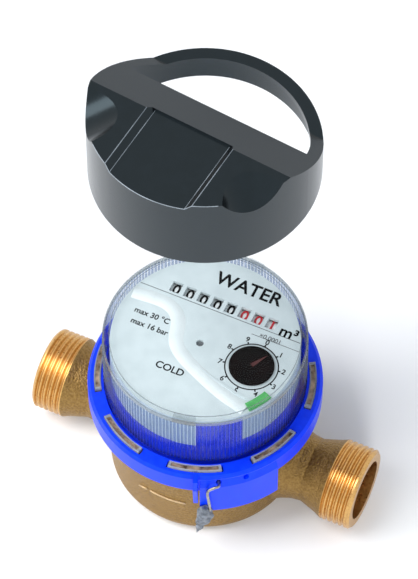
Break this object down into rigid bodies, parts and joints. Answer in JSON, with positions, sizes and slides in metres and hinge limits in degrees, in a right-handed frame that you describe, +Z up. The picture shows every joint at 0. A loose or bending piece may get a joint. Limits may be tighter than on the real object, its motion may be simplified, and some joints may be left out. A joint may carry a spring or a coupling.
{
  "type": "water meter",
  "caption": "Single-jet dry-dial water meter: brass body with two threaded spigots, blue clamp ring, clear ribbed dome over a number-wheel register, clip-on module above",
  "frame": {"origin": "centre of the flat underside of the brass body, under the dial axis", "axes": "+Z up the dial axis, +X along the pipe from inlet to outlet, the tamper seal on the -Y side"},
  "size_m": [0.11, 0.0741, 0.1869],
  "materials": {
    "brass": "cast, machined on the spigots",
    "blue": "moulded, glossy",
    "clear": "clear moulded cover with fine ribs",
    "white": "printed dial white",
    "dark_plastic": "polished black",
    "wheel_black": "pale wheels with black digits",
    "wheel_red": "pale wheels with red digits",
    "disc": "near black disc with a red hand",
    "green": "moulded",
    "lead": "pressed soft lead",
    "steel": "drawn",
    "rubber": "moulded",
    "gear": "moulded acetal",
    "magnet": "sintered",
    "board": "solder mask",
    "inner_plastic": "moulded"
  },
  "bodies": {
    "meter": {"meter_body": "brass", "inlet_strainer": "inner_plastic", "pivot_pin": "steel", "chamber_plate": "inner_plastic", "chamber_seal": "rubber", "clamp_ring": "blue", "register_base": "blue", "register_frame": "white", "gear_plate": "inner_plastic", "roller_shaft": "steel", "dial_plate": "white", "dial_tab": "green", "dome_cover": "clear", "seal_wire": "steel", "lead_seal": "lead"},
    "impeller": {"impeller": "white", "drive_magnet": "magnet"},
    "follower": {"follower_magnet": "magnet", "follower_pinion": "gear"},
    "pointer": {"pointer_gear": "gear", "pointer_arbor": "steel", "pointer_disc": "disc"},
    "module": {"module_housing": "dark_plastic", "module_base_plate": "dark_plastic", "circuit_board": "board", "battery": "steel", "antenna": "gear"},
    "wheel_1": {"number_wheel_1": "wheel_black"},
    "wheel_2": {"number_wheel_2": "wheel_black"},
    "wheel_3": {"number_wheel_3": "wheel_black"},
    "wheel_4": {"number_wheel_4": "wheel_black"},
    "wheel_5": {"number_wheel_5": "wheel_black"},
    "wheel_6": {"number_wheel_6": "wheel_red"},
    "wheel_7": {"number_wheel_7": "wheel_red"},
    "wheel_8": {"number_wheel_8": "wheel_red"}
  },
  "joints": [
    {"name": "module_lift", "type": "slide", "parent": "meter", "child": "module", "axis": [0, 0, 1], "range_m": [-0.0987, 0]},
    {"name": "impeller_spin", "type": "hinge", "parent": "meter", "child": "impeller", "pos_m": [0, 0, 0.015], "axis": [0, 0, 1], "continuous": true},
    {"name": "follower_spin", "type": "hinge", "parent": "meter", "child": "follower", "pos_m": [0, 0, 0.045], "axis": [0, 0, 1], "continuous": true},
    {"name": "pointer_spin", "type": "hinge", "parent": "meter", "child": "pointer", "pos_m": [0.0169, -0.003, 0.045], "axis": [0, 0, 1], "continuous": true},
    {"name": "wheel_1_spin", "type": "hinge", "parent": "meter", "child": "wheel_1", "pos_m": [-0.01614, 0.0138, 0.0592], "axis": [1, 0, 0], "continuous": true},
    {"name": "wheel_2_spin", "type": "hinge", "parent": "meter", "child": "wheel_2", "pos_m": [-0.01153, 0.0138, 0.0592], "axis": [1, 0, 0], "continuous": true},
    {"name": "wheel_3_spin", "type": "hinge", "parent": "meter", "child": "wheel_3", "pos_m": [-0.00692, 0.0138, 0.0592], "axis": [1, 0, 0], "continuous": true},
    {"name": "wheel_4_spin", "type": "hinge", "parent": "meter", "child": "wheel_4", "pos_m": [-0.00231, 0.0138, 0.0592], "axis": [1, 0, 0], "continuous": true},
    {"name": "wheel_5_spin", "type": "hinge", "parent": "meter", "child": "wheel_5", "pos_m": [0.00231, 0.0138, 0.0592], "axis": [1, 0, 0], "continuous": true},
    {"name": "wheel_6_spin", "type": "hinge", "parent": "meter", "child": "wheel_6", "pos_m": [0.00692, 0.0138, 0.0592], "axis": [1, 0, 0], "continuous": true},
    {"name": "wheel_7_spin", "type": "hinge", "parent": "meter", "child": "wheel_7", "pos_m": [0.01153, 0.0138, 0.0592], "axis": [1, 0, 0], "continuous": true},
    {"name": "wheel_8_spin", "type": "hinge", "parent": "meter", "child": "wheel_8", "pos_m": [0.01614, 0.0138, 0.0592], "axis": [1, 0, 0], "continuous": true}
  ],
  "couplings": [
    {"joint": "follower_spin", "follows": "impeller_spin", "ratio": 1},
    {"joint": "pointer_spin", "follows": "impeller_spin", "ratio": -1.5556},
    {"joint": "wheel_8_spin", "follows": "impeller_spin", "ratio": 0.1},
    {"joint": "wheel_7_spin", "follows": "impeller_spin", "ratio": 0.01},
    {"joint": "wheel_6_spin", "follows": "impeller_spin", "ratio": 0.001},
    {"joint": "wheel_5_spin", "follows": "impeller_spin", "ratio": 0.0001},
    {"joint": "wheel_4_spin", "follows": "impeller_spin", "ratio": 0.00001},
    {"joint": "wheel_3_spin", "follows": "impeller_spin", "ratio": 0.000001},
    {"joint": "wheel_2_spin", "follows": "impeller_spin", "ratio": 0.0000001},
    {"joint": "wheel_1_spin", "follows": "impeller_spin", "ratio": 0.00000001}
  ]
}
